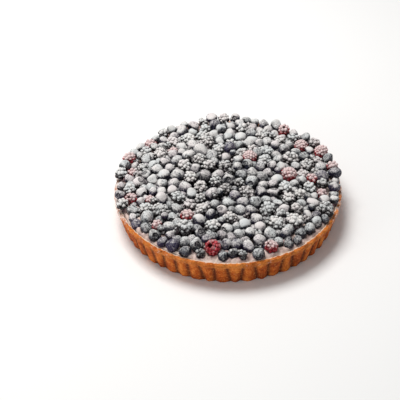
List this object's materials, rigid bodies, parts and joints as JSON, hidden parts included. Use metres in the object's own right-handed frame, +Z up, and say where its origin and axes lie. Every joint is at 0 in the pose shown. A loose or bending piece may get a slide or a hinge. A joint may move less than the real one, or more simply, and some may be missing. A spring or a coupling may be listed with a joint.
{
  "type": "wild berry tart",
  "caption": "Round fluted shortcrust tart filled with custard and cream and heaped with sugar-dusted blueberries, brambles and raspberries.",
  "frame": {"origin": "middle of the flat base that the tart rests on", "axes": "+Z up, through the tart's middle; -Y towards the side that faces the viewer in the picture; +X to the viewer's right"},
  "size_m": [0.2706, 0.2696, 0.0583],
  "materials": {
    "shortcrust": "dry baked shortcrust, golden at the rim and browner on the fluted side",
    "custard": "smooth set custard",
    "cream": "soft whipped cream, dull white with a little pink",
    "berries": "dark berries dusted with icing sugar, which lies thickest on their tops"
  },
  "bodies": {
    "root": {"crust": "shortcrust", "custard": "custard", "cream": "cream", "berry_heap": "berries"}
  },
  "joints": []
}
